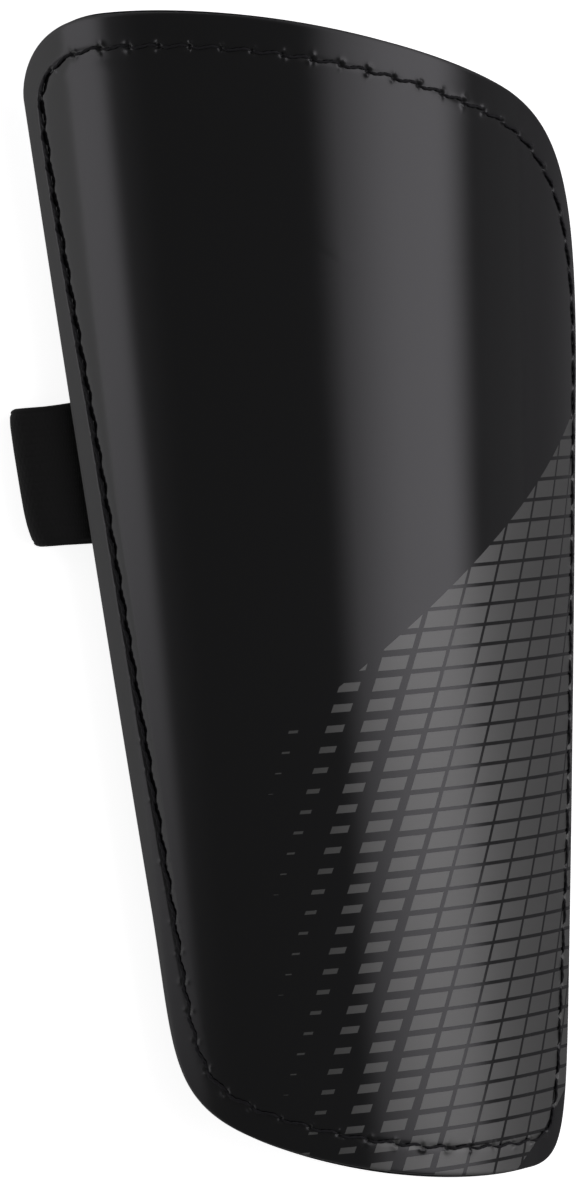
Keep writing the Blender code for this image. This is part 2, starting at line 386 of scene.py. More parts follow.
# %% The bending group
def make_bend_group():
    """Bends a flat blank over the form, and puts the guard's middle over the frame's origin."""
    tree, source, target = new_geometry_tree("bend_over_form", BEND_SIZES)
    maths = partial(calculate, tree)
    size = source.outputs
    position = tree.nodes.new("GeometryNodeInputPosition")
    across, along, height = split_vector(tree, position.outputs[0])
    share = maths("DIVIDE", along, size["Length"])

    def grown(what):
        growth = maths("SUBTRACT", size["Knee " + what], size["Ankle " + what])
        return maths("MULTIPLY_ADD", growth, share, size["Ankle " + what])

    on_left = maths("LESS_THAN", across, 0.0)
    left, right = grown("Left Radius"), grown("Right Radius")
    wider = maths("SUBTRACT", left, right)
    bend_radius = maths("MULTIPLY_ADD", wider, on_left, right)
    angle = maths("DIVIDE", across, bend_radius)
    reach = maths("ADD", bend_radius, height)
    sideways = maths("MULTIPLY", reach, maths("SINE", angle))
    upwards = maths("MULTIPLY", reach, maths("COSINE", angle))
    drop = maths("SUBTRACT", grown("Crest Height"), bend_radius)
    bent_x = maths("ADD", sideways, size["Crest X"])
    bent_y = maths("SUBTRACT", along, maths("MULTIPLY", size["Length"], 0.5))
    bent_z = maths("ADD", drop, upwards)
    move = tree.nodes.new("GeometryNodeSetPosition")
    tree.links.new(source.outputs["Geometry"], move.inputs["Geometry"])
    tree.links.new(join_vector(tree, bent_x, bent_y, bent_z), move.inputs["Position"])
    tree.links.new(move.outputs[0], target.inputs["Geometry"])
    spread_out(tree)
    return tree


bend_group = make_bend_group()

# %% [markdown]
# Running a tree
#
# A maker's tree is put on an object as a modifier, its inputs are set by the sockets' identifiers, and the
# evaluated result is taken as a plain mesh.  The modifier goes with the object it was on, so each piece is a
# finished mesh.

# %% Helpers that run a tree and finish a piece
def end_tree(tree, target, geometry, material):
    """Ends a tree with the bend, real meshes in place of instances, and the material."""
    bend = tree.nodes.new("GeometryNodeGroup")
    bend.node_tree = bend_group
    for name, value in BEND_SIZES.items():
        bend.inputs[name].default_value = value
    realize = tree.nodes.new("GeometryNodeRealizeInstances")
    smooth = tree.nodes.new("GeometryNodeSetShadeSmooth")
    paint = tree.nodes.new("GeometryNodeSetMaterial")
    paint.inputs["Material"].default_value = material
    for node in (realize, bend, smooth, paint):
        tree.links.new(geometry, node.inputs["Geometry"])
        geometry = node.outputs["Geometry"]
    tree.links.new(geometry, target.inputs["Geometry"])
    spread_out(tree)


def run_tree(piece, tree, **values):
    """Evaluates the tree on a piece and gives back one plain mesh object of the same name."""
    modifier = piece.modifiers.new(tree.name, "NODES")
    modifier.node_group = tree
    for item in tree.interface.items_tree:
        key = item.name.lower().replace(" ", "_")
        if item.in_out == "INPUT" and key in values:
            modifier[item.identifier] = values[key]
    bpy.context.view_layer.update()
    evaluated = piece.evaluated_get(bpy.context.evaluated_depsgraph_get())
    mesh = bpy.data.meshes.new_from_object(evaluated)
    name = piece.name
    bpy.data.objects.remove(piece, do_unlink=True)
    mesh.name = name
    result = bpy.data.objects.new(name, mesh)
    bpy.context.scene.collection.objects.link(result)
    print(name, len(mesh.vertices), "vertices,", sum(len(p.vertices) - 2 for p in mesh.polygons), "triangles")
    return result


def bend_tree(name, material):
    """A tree that only bends its piece and paints it."""
    tree, source, target = new_geometry_tree(name, {})
    end_tree(tree, target, source.outputs["Geometry"], material)
    return tree


def add_piece(name, data):
    """An object at the origin, in the scene."""
    piece = bpy.data.objects.new(name, data)
    bpy.context.scene.collection.objects.link(piece)
    return piece


# %% [markdown]
# Ink, plastic, foam and elastic
#
# Every finish here is nearly black, so it is told apart by how it answers light: the shell mirrors, its
# printed band glints softly, the foam and the elastic swallow light.  Only the grey ink reflects more than a
# fortieth of it, and the rest is done by roughness, by a little metal in the ink, and by fine relief.

# %% Helpers for materials
def new_material(name, colour, roughness):
    """A material with one plain colour and roughness, to which the finishes below add their detail."""
    material = bpy.data.materials.new(name)
    material.use_nodes = True
    shader = material.node_tree.nodes["Principled BSDF"]
    shader.inputs["Base Color"].default_value = (*colour, 1.0)
    shader.inputs["Roughness"].default_value = roughness
    return material


def new_shader_group(name, inputs, outputs):
    """A shader node group with named number inputs, one Vector input and named number outputs."""
    tree = bpy.data.node_groups.new(name, "ShaderNodeTree")
    tree.interface.new_socket("Vector", in_out="INPUT", socket_type="NodeSocketVector")
    for socket_name, value in inputs.items():
        socket = tree.interface.new_socket(socket_name, in_out="INPUT", socket_type="NodeSocketFloat")
        socket.default_value = value
    for socket_name in outputs:
        tree.interface.new_socket(socket_name, in_out="OUTPUT", socket_type="NodeSocketFloat")
    return tree, tree.nodes.new("NodeGroupInput"), tree.nodes.new("NodeGroupOutput")


def place_group(material, group, vector, **values):
    """Puts a group in a material, with its values."""
    node = material.node_tree.nodes.new("ShaderNodeGroup")
    node.node_tree = group
    material.node_tree.links.new(vector, node.inputs["Vector"])
    for name, value in values.items():
        node.inputs[name.replace("_", " ").title()].default_value = value
    return node


def blend_numbers(tree, share, first, second):
    """A Map Range node that turns a share from 0 to 1 into a number between two."""
    node = tree.nodes.new("ShaderNodeMapRange")
    node.inputs["To Min"].default_value = first
    node.inputs["To Max"].default_value = second
    tree.links.new(share, node.inputs["Value"])
    return node.outputs["Result"]


def add_bump(material, height, distance, strength=1.0):
    """Turns a height that changes over the surface into fine relief."""
    tree = material.node_tree
    bump = tree.nodes.new("ShaderNodeBump")
    bump.inputs["Strength"].default_value = strength
    bump.inputs["Distance"].default_value = distance
    tree.links.new(height, bump.inputs["Height"])
    tree.links.new(bump.outputs[0], tree.nodes["Principled BSDF"].inputs["Normal"])


def read_uv(tree, name):
    """The places that one of the piece's own UV maps gives."""
    node = tree.nodes.new("ShaderNodeUVMap")
    node.uv_map = name
    return node.outputs[0]


# %% [markdown]
# The printed band
#
# A grey ink is printed on the flat plastic before it is bent, so the print lives in the blank's own
# measures and bends with it.  The pattern is a plain lattice of lozenges inside one slanted band.  Each
# lozenge asks where its own middle is: on the right they nearly touch, towards the crest they shrink away.

# %% Sizes of the print
# Lengths are in millimetres.  "Slant" turns the band up from straight across the guard, and "Half Angle"
# turns the two sets of the lattice's lines away from the band, one to each side.
PRINT_SIZES = {
    "Length": GUARD_LENGTH / MM,
    "Slant": math.radians(33),
    "Half Angle": math.radians(34),
    "Row Pitch": 3.7,
    "Column Pitch": 7.2,
    "Line": 0.28,
    "Blur": 0.1,
    "Band Low": -16.0,
    "Band High": 82.0,
    "Fade Start": -34.0,
    "Fade End": 20.0,
}

# %% Lozenge print as a shader group
def make_print_group():
    """How much ink lies at a place on the blank: 1 inside a lozenge, 0 outside."""
    tree, source, target = new_shader_group("lozenge_print", PRINT_SIZES, ["Ink"])
    maths = partial(calculate, tree)
    size = source.outputs
    uv = split_vector(tree, size["Vector"])
    across = maths("MULTIPLY", maths("SUBTRACT", uv["X"], 0.5), size["Length"])
    along = maths("MULTIPLY", uv["Y"], size["Length"])
    cosine = maths("COSINE", size["Slant"])
    sine = maths("SINE", size["Slant"])
    lengthways = maths("ADD", maths("MULTIPLY", across, cosine), maths("MULTIPLY", along, sine))
    sideways = maths("SUBTRACT", maths("MULTIPLY", along, cosine), maths("MULTIPLY", across, sine))

    half_sine = maths("SINE", size["Half Angle"])
    half_cosine = maths("COSINE", size["Half Angle"])
    steep = maths("MULTIPLY", half_sine, lengthways)
    flat = maths("MULTIPLY", half_cosine, sideways)
    rows = maths("DIVIDE", maths("ADD", steep, flat), size["Row Pitch"])
    columns = maths("DIVIDE", maths("SUBTRACT", steep, flat), size["Column Pitch"])
    middles, distances = [], []
    for lines, pitch_size in ((rows, size["Row Pitch"]), (columns, size["Column Pitch"])):
        middle = maths("ADD", maths("FLOOR", lines), 0.5)
        middles.append(maths("MULTIPLY", middle, pitch_size))
        distances.append(maths("ABSOLUTE", maths("SUBTRACT", lines, middle)))

    middle_steep = maths("MULTIPLY", maths("ADD", *middles), 0.5)
    middle_flat = maths("MULTIPLY", maths("SUBTRACT", *middles), 0.5)
    middle_length = maths("DIVIDE", middle_steep, half_sine)
    middle_side = maths("DIVIDE", middle_flat, half_cosine)
    turned_back = maths("MULTIPLY", middle_side, sine)
    middle_across = maths("SUBTRACT", maths("MULTIPLY", middle_length, cosine), turned_back)
    growth = soft_step(tree, middle_across, size["Fade Start"], size["Fade End"])
    half_size = maths("MULTIPLY", growth, 0.5)
    rooms = [
        maths("MULTIPLY", maths("SUBTRACT", half_size, distance), pitch_size)
        for distance, pitch_size in zip(distances, (size["Row Pitch"], size["Column Pitch"]))
    ]
    inside = maths("SUBTRACT", maths("MINIMUM", *rooms), size["Line"])
    lozenge = soft_step(tree, inside, 0.0, size["Blur"])
    above = maths("GREATER_THAN", sideways, size["Band Low"])
    below = maths("LESS_THAN", sideways, size["Band High"])
    ink = maths("MULTIPLY", lozenge, maths("MULTIPLY", above, below))
    tree.links.new(ink, target.inputs["Ink"])
    spread_out(tree)
    return tree


print_group = make_print_group()

# %% [markdown]
# The plastic
#
# Moulded plastic is never a perfect mirror: its skin swells by a few thousandths of a millimetre and is
# wiped and touched, which shows as a haze in the highlights.  One group gives both, as a height and a haze.
#
# The ink is a little rougher than the plastic, partly metallic, and stands a hair above it.  A second UV
# map, "wear", tells what no noise can: where the face turns over the cut edge, and how near a needle hole
# is.  Both places are duller than the polished face.  The foam and the thread use the same group at a far
# finer scale, as closed cells and as fibres.

# %% Moulded skin as a shader group
def make_skin_group():
    """A slow swell, as a height, and a cloudy haze, as a share."""
    inputs = {"Swell Scale": 90.0, "Haze Scale": 38.0}
    tree, source, target = new_shader_group("moulded_skin", inputs, ["Height", "Haze"])
    for scale, detail, output in (("Swell Scale", 1.0, "Height"), ("Haze Scale", 5.0, "Haze")):
        noise = tree.nodes.new("ShaderNodeTexNoise")
        noise.inputs["Detail"].default_value = detail
        tree.links.new(source.outputs["Vector"], noise.inputs["Vector"])
        tree.links.new(source.outputs[scale], noise.inputs["Scale"])
        tree.links.new(noise.outputs["Fac"], target.inputs[output])
    spread_out(tree)
    return tree


skin_group = make_skin_group()

# %% Sizes of the shell's finish
BLACK_PLASTIC = (0.0085, 0.0085, 0.0092, 1.0)
GREY_INK = (0.150, 0.151, 0.146, 1.0)
SKIN_ROUGHNESS = (0.11, 0.17)
INK_ROUGHNESS, CUT_ROUGHNESS, PUCKER_ROUGHNESS = 0.26, 0.5, 0.26
INK_METAL, INK_HEIGHT = 0.6, 0.25
SKIN_DEPTH, SKIN_STRENGTH = 0.02 * MM, 0.25

# %% Shell plastic
def make_shell_plastic():
    """Polished black plastic under the print, duller at its cut edge and at the needle holes."""
    material = new_material("shell_plastic", BLACK_PLASTIC[:3], SKIN_ROUGHNESS[0])
    tree = material.node_tree
    maths = partial(calculate, tree)
    shader = tree.nodes["Principled BSDF"]
    place = tree.nodes.new("ShaderNodeTexCoord").outputs["Object"]
    ink = place_group(material, print_group, read_uv(tree, "blank")).outputs["Ink"]
    skin = place_group(material, skin_group, place)
    colour = tree.nodes.new("ShaderNodeMix")
    colour.data_type = "RGBA"
    tree.links.new(ink, colour.inputs["Factor"])
    colour.inputs["A"].default_value = BLACK_PLASTIC
    colour.inputs["B"].default_value = GREY_INK
    tree.links.new(colour.outputs["Result"], shader.inputs["Base Color"])
    tree.links.new(maths("MULTIPLY", ink, INK_METAL), shader.inputs["Metallic"])
    rough = blend_numbers(tree, skin.outputs["Haze"], *SKIN_ROUGHNESS)
    worn = split_vector(tree, read_uv(tree, "wear"))
    for share, more in ((ink, INK_ROUGHNESS), (worn["X"], CUT_ROUGHNESS), (worn["Y"], PUCKER_ROUGHNESS)):
        rough = maths("MULTIPLY_ADD", share, more, rough)
    tree.links.new(rough, shader.inputs["Roughness"])
    height = maths("MULTIPLY_ADD", ink, INK_HEIGHT, skin.outputs["Height"])
    add_bump(material, height, SKIN_DEPTH, SKIN_STRENGTH)
    return material


shell_plastic = make_shell_plastic()

# %% Foam and thread
MATT_SPECULAR = 0.15
CELLS_PER_HAZE = 14
HAZE_SPREAD = 0.08
FOAM_COLOUR, FOAM_ROUGHNESS = (0.010, 0.010, 0.010), 0.86
FOAM_CELLS, FOAM_DEPTH = 1900.0, 0.12 * MM
THREAD_COLOUR, THREAD_ROUGHNESS = (0.021, 0.0205, 0.0225), 0.7
THREAD_FIBRES, THREAD_DEPTH = 5200.0, 0.03 * MM


def make_grain_material(name, colour, roughness, scale, depth):
    """A matt finish with fine closed cells or fibres, from a noise in the piece's own measures."""
    material = new_material(name, colour, roughness)
    tree = material.node_tree
    shader = tree.nodes["Principled BSDF"]
    shader.inputs["Specular IOR Level"].default_value = MATT_SPECULAR
    place = tree.nodes.new("ShaderNodeTexCoord").outputs["Object"]
    skin = place_group(material, skin_group, place, swell_scale=scale, haze_scale=scale / CELLS_PER_HAZE)
    add_bump(material, skin.outputs["Height"], depth)
    smoothest, roughest = roughness - HAZE_SPREAD, min(roughness + HAZE_SPREAD, 1.0)
    rough = blend_numbers(tree, skin.outputs["Haze"], smoothest, roughest)
    tree.links.new(rough, shader.inputs["Roughness"])
    return material


foam_black = make_grain_material("foam_black", FOAM_COLOUR, FOAM_ROUGHNESS, FOAM_CELLS, FOAM_DEPTH)
thread_black = make_grain_material(
    "thread_black", THREAD_COLOUR, THREAD_ROUGHNESS, THREAD_FIBRES, THREAD_DEPTH
)
print("finishes:", shell_plastic.name, foam_black.name, thread_black.name)

# %% [markdown]
# The shell's blank
#
# The shell could be a smooth patch with a bump texture for the seam, but then the seam would be flat from
# the side.  Here it is a net of rings that follow the edge: a few round the rim over, many lie close
# together at the seam, and the rest close in on a line under the crest.
#
# Between the needle holes the plastic is pressed into a shallow groove, and each hole has a small puckered
# collar.  Down the left side the seam lies at the foot of a low step instead: outside it a short wall leads
# up to the rim, and inside it the face rises softly.  The step dies out towards the ankle.

# %% Heights of the seam on the shell
GROOVE_DEPTH, GROOVE_WIDTH = 0.11 * MM, 0.55 * MM
PRESS_DEPTH, PRESS_WIDTH = 0.03 * MM, 1.6 * MM
COLLAR_HEIGHT, COLLAR_RADIUS, COLLAR_WIDTH = 0.24 * MM, 0.78 * MM, 0.42 * MM
HOLE_DEPTH, HOLE_RADIUS = 0.45 * MM, 0.42 * MM
STEP_DEPTH, STEP_WIDTH, STEP_BREAK = 0.26 * MM, 0.95 * MM, 0.5 * MM
STEP_INSIDE = 1.2 * STEP_WIDTH
# Each row: millimetres from the ankle tip, and the share of the step's depth there.
STEP_FADE = ((0, 0.0), (32, 0.0), (78, 1.0), (220, 1.0))
WALL_AT_HOLE = 0.1
# Shares of the collars, the holes and the dull pucker that are left where the step takes over.
LEFT_COLLAR, LEFT_HOLE, LEFT_PUCKER = 0.2, 0.5, 0.2

random.seed(11)
hole_characters = [
    (random.uniform(0.6, 1.3), random.uniform(0, math.tau), random.choice((1, 2, 3)))
    for _ in range(stitch_count)
]
print(len(hole_characters), "holes, each with its own strength, turn and number of lobes")


def bell(distance, width):
    """1 at no distance, falling away smoothly to almost nothing at twice the width."""
    return math.exp(-((distance / width) ** 2))


def left_step(sideways, lengthways):
    """The step on the left: a short wall outside the seam, a soft rise inside it, broken at each hole."""
    if sideways > 0:
        return bell(sideways, STEP_INSIDE)
    share = min(max(1 + sideways / STEP_WIDTH, 0.0), 1.0)
    return share * share * (3 - 2 * share) * (1 - (1 - WALL_AT_HOLE) * bell(lengthways, STEP_BREAK))


def step_share(station):
    """How much of the step there is at a station."""
    return from_table(STEP_FADE, station["point"].y / MM)


def shell_relief(station, inset):
    """Height of the shell's outer face at one place, from groove, step and the nearest needle hole."""
    sideways = inset - station["inset"]
    lengthways = station["from_hole"]
    strength, turn, lobes = hole_characters[station["hole"]]
    distance = math.hypot(sideways, lengthways)
    around = math.atan2(sideways, lengthways)
    left = max(station["normal"].x, 0.0) ** 2
    height = -GROOVE_DEPTH * (1 - left) * bell(sideways, GROOVE_WIDTH)
    height -= PRESS_DEPTH * bell(sideways, PRESS_WIDTH)
    height -= STEP_DEPTH * left * step_share(station) * left_step(sideways, lengthways)
    collar = max(0.5 + 0.5 * math.cos(lobes * around + turn) + 0.2 * math.cos(5 * around - turn), 0.0)
    collar *= (0.15 + 0.85 * math.sin(around) ** 2) * (1 - (1 - LEFT_COLLAR) * left)
    height += strength * COLLAR_HEIGHT * collar * bell(distance - COLLAR_RADIUS, COLLAR_WIDTH)
    height -= HOLE_DEPTH * (1 - (1 - LEFT_HOLE) * left) * bell(distance, HOLE_RADIUS)
    return height


# %% Rings of a blank
SPINE_START, SPINE_END, SPINE_STEP = 55 * MM, 171 * MM, 2 * MM
SPINE_COUNT = round((SPINE_END - SPINE_START) / SPINE_STEP) + 1
INNERMOST = 2.4 * MM
CLEAR_OF_EDGE = 1.9 * MM
print(SPINE_COUNT, "points on the line under the crest")


def spine_index(station):
    """Which point of the line under the crest this station's ring line ends on."""
    number = round((station["point"].y - SPINE_START) / SPINE_STEP)
    return min(max(number, 0), SPINE_COUNT - 1)


def edge_ring(inset, height):
    """A ring that keeps one inset from the blank's edge."""
    ring = []
    for station in stations:
        place = station["point"] + station["normal"] * inset
        ring.append((place.x, place.y, height))
    return ring


def seam_ring(offset, height, relief=None):
    """A ring that keeps one offset from the seam, and draws near it where the edge leaves little room."""
    ring = []
    for station in stations:
        squeeze = min((station["inset"] - CLEAR_OF_EDGE) / INNERMOST, 1.0) if offset < 0 else 1.0
        inset = station["inset"] + offset * squeeze
        place = station["point"] + station["normal"] * inset
        lift = relief(station, inset) if relief else 0.0
        ring.append((place.x, place.y, height + lift))
    return ring


def fill_ring(share, height):
    """A ring part of the way from the innermost seam ring to the line under the crest."""
    ring = []
    for station in stations:
        inner = station["point"] + station["normal"] * (station["inset"] + INNERMOST)
        spine = Vector((0.0, SPINE_START + spine_index(station) * SPINE_STEP))
        place = inner.lerp(spine, share)
        ring.append((place.x, place.y, height))
    return ring


# %% A layer from rings
def layer_from_rings(name, rings, wear=None):
    """A closed flat layer from rings that run from the middle of its outer face, over the rim, to the
    middle of its inner face.  The UV map "blank" holds across and along as shares of the guard's length.
    Where a wear function is given, a map "wear" holds its two numbers for each ring and station."""
    count = len(stations)
    vertices = [place for ring in rings for place in ring]
    faces = []
    for number in range(len(rings) - 1):
        for column in range(count):
            after = (column + 1) % count
            near, far = number * count, (number + 1) * count
            faces.append((far + column, near + column, near + after, far + after))
    for ring_start, height, outwards in (
        (0, rings[0][0][2], True),
        ((len(rings) - 1) * count, rings[-1][0][2], False),
    ):
        spine_start = len(vertices)
        for number in range(SPINE_COUNT):
            vertices.append((0.0, SPINE_START + number * SPINE_STEP, height))
        for column in range(count):
            after = (column + 1) % count
            near = spine_start + spine_index(stations[column])
            far = spine_start + spine_index(stations[after])
            corners = [ring_start + column, near, far, ring_start + after]
            if near == far:
                corners.pop(2)
            faces.append(corners if outwards else corners[::-1])
    mesh = bpy.data.meshes.new(name)
    mesh.from_pydata(vertices, [], faces)
    uv = mesh.uv_layers.new(name="blank")
    for loop in mesh.loops:
        across, along, _ = vertices[loop.vertex_index]
        uv.data[loop.index].uv = (across / GUARD_LENGTH + 0.5, along / GUARD_LENGTH)
    if wear:
        worn = [wear(number, station) for number in range(len(rings)) for station in stations]
        worn += [(0.0, 0.0)] * (len(vertices) - len(worn))
        wear_map = mesh.uv_layers.new(name="wear")
        for loop in mesh.loops:
            wear_map.data[loop.index].uv = worn[loop.vertex_index]
    return add_piece(name, mesh)


# %% Rows of rings
SEAM_OFFSETS = [
    offset * MM
    for offset in (2.4, 1.7, 1.35, 1.1, 0.9, 0.7, 0.5, 0.3, 0.15, 0.0)
    + (-0.15, -0.3, -0.5, -0.7, -0.9, -1.1, -1.35, -1.7, -2.4)
]
SHELL_EDGE = [
    (inset * MM + FOAM_RIM, height * MM)
    for inset, height in (
        (1.3, 0.0), (0.75, 0.0), (0.4, -0.005), (0.22, -0.02), (0.1, -0.07), (0.03, -0.16), (0.0, -0.32),
        (0.0, -1.35), (0.15, -1.5),
    )
]
FILL_STEPS = 20
FILL_SHARES = [step / FILL_STEPS for step in range(1, FILL_STEPS)]
HIDDEN_SHARES = (0.0, 0.2, 0.4, 0.6, 0.8)
DULL_RINGS = 3
PUCKER_REACH = 1.25 * MM


def shell_wear(number, station):
    """How far a ring lies over the cut edge, and how near a place on it is to a needle hole."""
    past_face = (number - len(FILL_SHARES) - len(SEAM_OFFSETS) - 1) / DULL_RINGS
    seam_number = number - len(FILL_SHARES)
    pucker = 0.0
    if 0 <= seam_number < len(SEAM_OFFSETS):
        pucker = bell(math.hypot(SEAM_OFFSETS[seam_number], station["from_hole"]), PUCKER_REACH)
        pucker *= 1 - (1 - LEFT_PUCKER) * max(station["normal"].x, 0.0) * step_share(station)
    return min(max(past_face, 0.0), 1.0), pucker


# %% Make the shell
shell_rings = [fill_ring(share, 0.0) for share in FILL_SHARES[::-1]]
shell_rings += [seam_ring(offset, 0.0, shell_relief) for offset in SEAM_OFFSETS]
shell_rings += [edge_ring(inset, height) for inset, height in SHELL_EDGE]
shell_rings += [fill_ring(share, -SHELL_THICKNESS) for share in HIDDEN_SHARES]
shell = layer_from_rings("hard_shell", shell_rings, shell_wear)
shell = run_tree(shell, bend_tree("bend_shell", shell_plastic))
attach(shell, "root")
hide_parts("shell")

# %% [markdown]
# The foam backing
#
# The backing is a sheet of closed-cell foam, cut a little larger than the shell, so a thin dark rim shows
# all round.  On its inner face the seam pulls the foam in to a soft channel with a deeper pinch at every
# needle hole.  It is made from the same rings, because pinch and pucker belong to the same stitches.

# %% Make the foam backing
CHANNEL_DEPTH, CHANNEL_WIDTH = 0.8 * MM, 1.5 * MM
PINCH_DEPTH, PINCH_WIDTH = 0.45 * MM, 1.1 * MM
FOAM_TOP = -(SHELL_THICKNESS + LAYER_GAP)
FOAM_EDGE = [
    (inset * MM, FOAM_TOP + height * MM)
    for inset, height in (
        (1.2, 0.0), (0.3, 0.0), (0.09, -0.09), (0.0, -0.3), (0.0, -1.6), (0.02, -3.0), (0.1, -3.9),
        (0.3, -4.35), (0.7, -4.6), (1.3, -4.69),
    )
]


def foam_relief(station, inset):
    """How far the inner face is pulled towards the shell by the seam."""
    sideways = inset - station["inset"]
    distance = math.hypot(sideways, station["from_hole"])
    return CHANNEL_DEPTH * bell(sideways, CHANNEL_WIDTH) + PINCH_DEPTH * bell(distance, PINCH_WIDTH)


foam_rings = [fill_ring(share, FOAM_TOP) for share in HIDDEN_SHARES[::-1]]
foam_rings += [edge_ring(inset, height) for inset, height in FOAM_EDGE]
foam_rings += [seam_ring(offset, -WALL_THICKNESS, foam_relief) for offset in SEAM_OFFSETS[::-1]]
foam_rings += [fill_ring(share, -WALL_THICKNESS) for share in FILL_SHARES]
foam = layer_from_rings("foam_lining", foam_rings)
foam = run_tree(foam, bend_tree("bend_foam", foam_black))
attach(foam, "root")
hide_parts("foam_backing")

# %% [markdown]
# The elastic strap
#
# The strap is woven elastic, 25 mm wide.  It is caught in the seam on both long sides, hangs slack across
# the hollow and pushes out in a soft loop on the left.  Cloth simulation would need the leg that stretches
# it, so the loop is drawn as the slack band lies: one route in the section, swept over the strap's width.
# A table draws the loop in at its corners, and another lets the band flare where the seam holds it.

# %% Sizes of the strap's route
STRAP_LOOP_REACH = 11.0 * MM
STRAP_LOOP_RADIUS = 3.3 * MM
STRAP_TAB_LENGTH = 14.0 * MM
STRAP_RIGHT_FOLD_RADIUS = 2.0 * MM
STEPS = {"tab": 20, "wrap": 8, "rise": 22, "loop": 22, "floor": 40, "fold": 14}
# Each row: a share of the strap's width, and how far the loop is drawn in there.
LOOP_SHAPE = (
    (0.000, 0.180), (0.012, 0.133), (0.030, 0.107), (0.060, 0.084), (0.100, 0.064), (0.160, 0.040),
    (0.250, 0.021), (0.400, 0.012), (0.700, 0.005), (0.880, 0.010), (0.950, 0.030), (0.985, 0.065),
    (1.000, 0.110),
)
# Each row: millimetres along the strap from its left end, and its width there as a share of the flat one.
FLARE = ((0, 1.055), (16, 1.055), (28, 1.022), (40, 1.022), (60, 1.0), (400, 1.0))


# %% The route of the strap
def section_point(side, along, angle, depth):
    """A point at an angle from the crest, in (x, z), at a depth under the shell's outer face."""
    outer = radius(side, along)
    x = side * (outer - depth) * math.sin(angle)
    z = between_ends(CREST_HEIGHT, along) - outer + (outer - depth) * math.cos(angle)
    return Vector((x, z))


def arc_points(centre, arc_radius, start, end, steps):
    """Points on an arc in (x, z); angles are from +X towards +Z."""
    angles = [start + (end - start) * step / steps for step in range(steps + 1)]
    return [Vector(centre) + arc_radius * Vector((math.cos(a), math.sin(a))) for a in angles]


def strap_route(along, draw_in):
    """The strap's middle line in (x, z), from its left tab to its right."""
    half = STRAP_THICKNESS / 2
    hug = WALL_THICKNESS + STRAP_CLEARANCE + half
    quarter = math.pi / 2
    left_foot = foot_angle(LEFT, along)
    left_radius = radius(LEFT, along) - hug
    left_centre = (0.0, between_ends(CREST_HEIGHT, along) - radius(LEFT, along))
    tab_start = quarter + left_foot - STRAP_TAB_LENGTH / left_radius
    tab = arc_points(left_centre, left_radius, tab_start, quarter + left_foot, STEPS["tab"])
    foot = section_point(LEFT, along, left_foot, WALL_THICKNESS)
    wrap = arc_points(foot, STRAP_CLEARANCE + half, left_foot - quarter, -quarter, STEPS["wrap"])
    reach = STRAP_LOOP_REACH * (1 - draw_in)
    loop_x = section_point(LEFT, along, left_foot, 0.0).x - reach + half + STRAP_LOOP_RADIUS
    loop_centre = Vector((loop_x, half + STRAP_LOOP_RADIUS))
    rise_end = loop_centre + Vector((0.0, STRAP_LOOP_RADIUS))
    span = Vector(((wrap[-1].x - rise_end.x) / 2, 0.0))
    rise = interpolate_bezier(wrap[-1], wrap[-1] - span, rise_end + span, rise_end, STEPS["rise"])
    rise = [Vector(point[:2]) for point in rise]
    loop = arc_points(loop_centre, STRAP_LOOP_RADIUS, quarter, 3 * quarter, STEPS["loop"])
    right_drop = radius(RIGHT, along) - between_ends(CREST_HEIGHT, along)
    right_radius = radius(RIGHT, along) - hug
    fold_height = half + STRAP_RIGHT_FOLD_RADIUS
    fold_rise = fold_height + right_drop
    fold_x = math.sqrt((right_radius - STRAP_RIGHT_FOLD_RADIUS) ** 2 - fold_rise**2)
    wall_angle = math.atan2(fold_rise, fold_x)
    fold_centre = (fold_x, fold_height)
    fold = arc_points(fold_centre, STRAP_RIGHT_FOLD_RADIUS, -quarter, wall_angle, STEPS["fold"])
    floor_run = [loop[-1].lerp(fold[0], step / STEPS["floor"]) for step in range(1, STEPS["floor"])]
    tab_end = wall_angle + STRAP_TAB_LENGTH / right_radius
    right_tab = arc_points((0.0, -right_drop), right_radius, wall_angle, tab_end, STEPS["tab"])
    return tab + wrap[1:] + rise[1:] + loop[1:] + floor_run + fold + right_tab[1:]


middle_route = strap_route(STRAP_MIDDLE_ALONG, from_table(LOOP_SHAPE, 0.5))
strap_length = sum((b - a).length for a, b in zip(middle_route, middle_route[1:]))
print("strap length", round(strap_length, 4), "m")

# %% [markdown]
# The weave
#
# Webbing like this is woven: rubber cores run lengthways as ribs, and fine picks cross over them.  Every
# yarn as a mesh would take millions of faces for a strap that mostly lies in shade.  So a shader group gives
# the weave's height, from a UV map of the strap's own in which ribs and picks keep their real pitch.

# %% Woven elastic
ELASTIC_COLOUR, ELASTIC_ROUGHNESS = (0.0160, 0.0160, 0.0158), 0.85
WEAVE_DEPTH, WEAVE_STRENGTH = 0.15 * MM, 0.5


def make_weave_group():
    """Ribs that run along the elastic, crossed by picks that step from rib to rib."""
    inputs = {"Length": 160.0, "Rib Pitch": 1.15, "Pick Pitch": 0.8}
    tree, source, target = new_shader_group("elastic_weave", inputs, ["Height"])
    maths = partial(calculate, tree)
    size = source.outputs
    uv = split_vector(tree, size["Vector"])
    rib = maths("DIVIDE", maths("MULTIPLY", uv["X"], size["Length"]), size["Rib Pitch"])
    pick = maths("DIVIDE", maths("MULTIPLY", uv["Y"], size["Length"]), size["Pick Pitch"])
    step = maths("MULTIPLY", maths("FLOOR", rib), 0.5)
    pick = maths("FRACT", maths("ADD", pick, step))
    ribs = maths("SINE", maths("MULTIPLY", maths("FRACT", rib), math.pi))
    picks = maths("SINE", maths("MULTIPLY", pick, math.pi))
    tree.links.new(maths("MULTIPLY", ribs, picks), target.inputs["Height"])
    spread_out(tree)
    return tree


